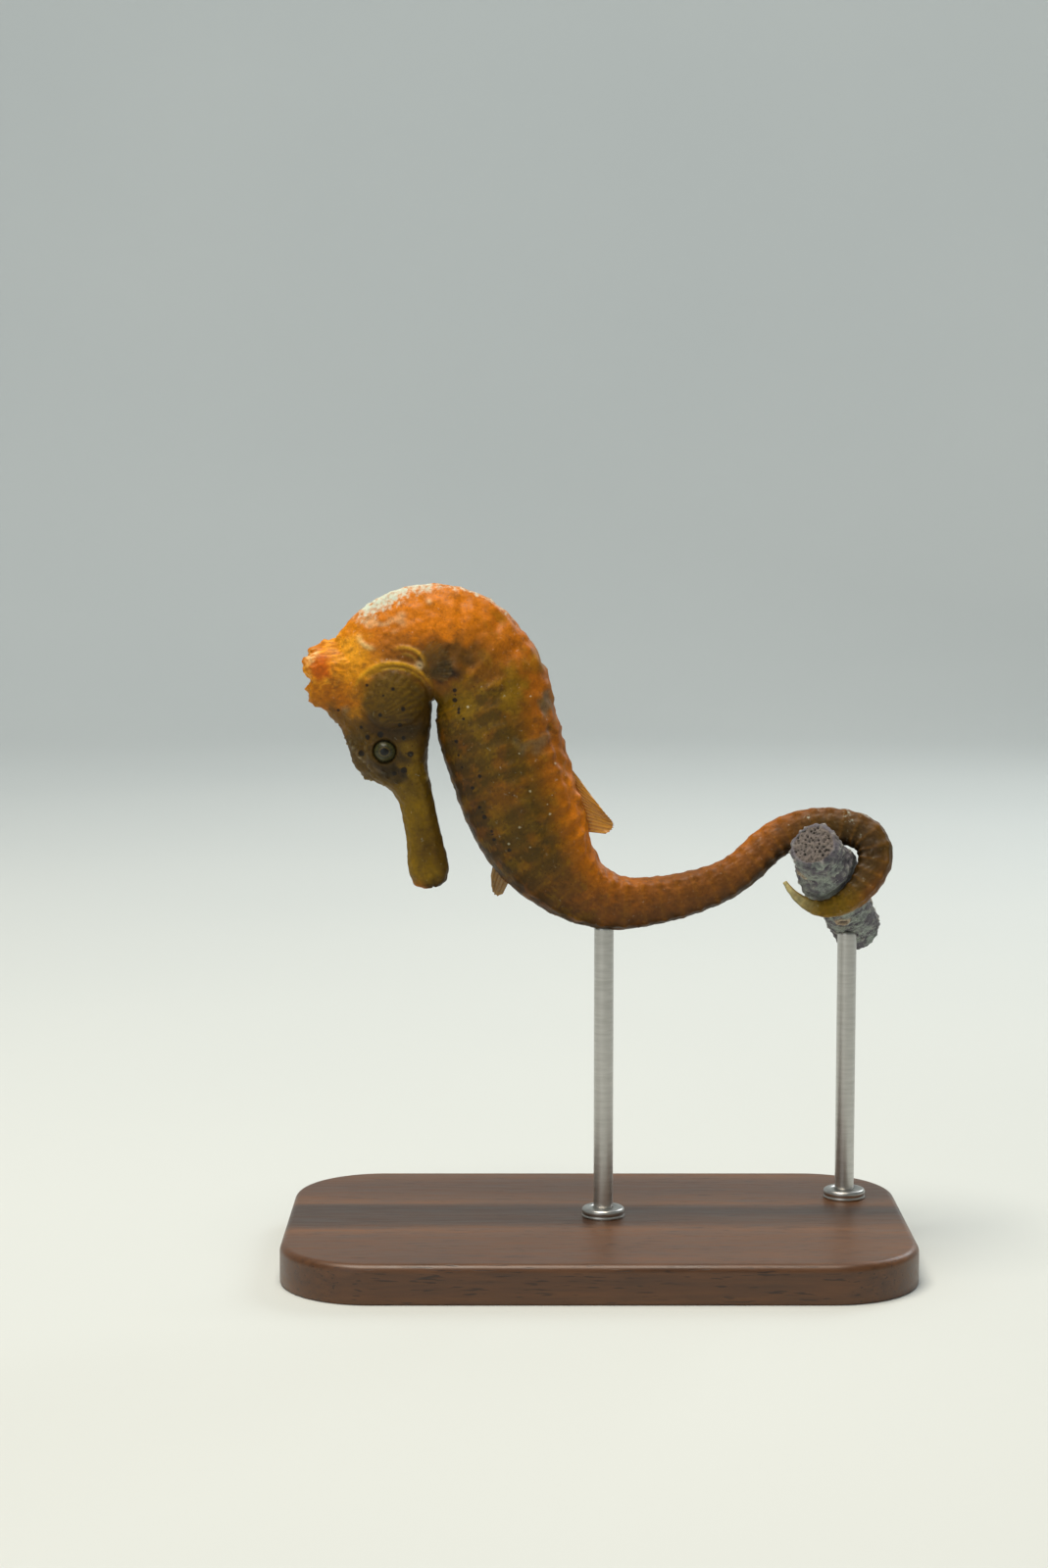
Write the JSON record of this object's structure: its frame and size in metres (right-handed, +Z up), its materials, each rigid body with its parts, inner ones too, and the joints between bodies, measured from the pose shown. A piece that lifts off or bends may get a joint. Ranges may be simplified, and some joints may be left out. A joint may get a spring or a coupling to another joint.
{
  "type": "longsnout seahorse model on a stand",
  "caption": "Life-size seahorse in a bowed pose, its tail curled round a cut length of sponge branch, held on a flat base by upright rods.",
  "frame": {"origin": "bottom centre of the bounding box, on the underside of the stand's base", "axes": "+X from the crown of the head towards the coil of the tail, +Z up, and the animal's left side faces -Y; its midline lies in the XZ plane up to the coil"},
  "size_m": [0.096, 0.058, 0.1044],
  "materials": {
    "skin": "satin skin over bony rings, orange with brown shading and black dots",
    "fin": "thin rayed membrane",
    "eye": "glossy eye with a dark pupil and a golden brown iris",
    "sponge": "matt knobbly grey-purple sponge",
    "board": "dark oiled walnut",
    "rod": "satin steel"
  },
  "bodies": {
    "root": {"snout": "skin", "head": "skin", "coronet": "skin", "neck": "skin", "trunk_front": "skin", "trunk_rear": "skin", "tail_root": "skin", "tail_middle": "skin", "tail_reach": "skin", "tail_coil_over": "skin", "tail_coil_side": "skin", "tail_tip": "skin", "dorsal_fin": "fin", "anal_fin": "fin", "pectoral_fin_left": "fin", "pectoral_fin_right": "fin", "eye_left": "eye", "eye_right": "eye", "perch": "sponge", "stand_base": "board", "stand_rod_body": "rod", "stand_rod_perch": "rod"}
  },
  "joints": []
}
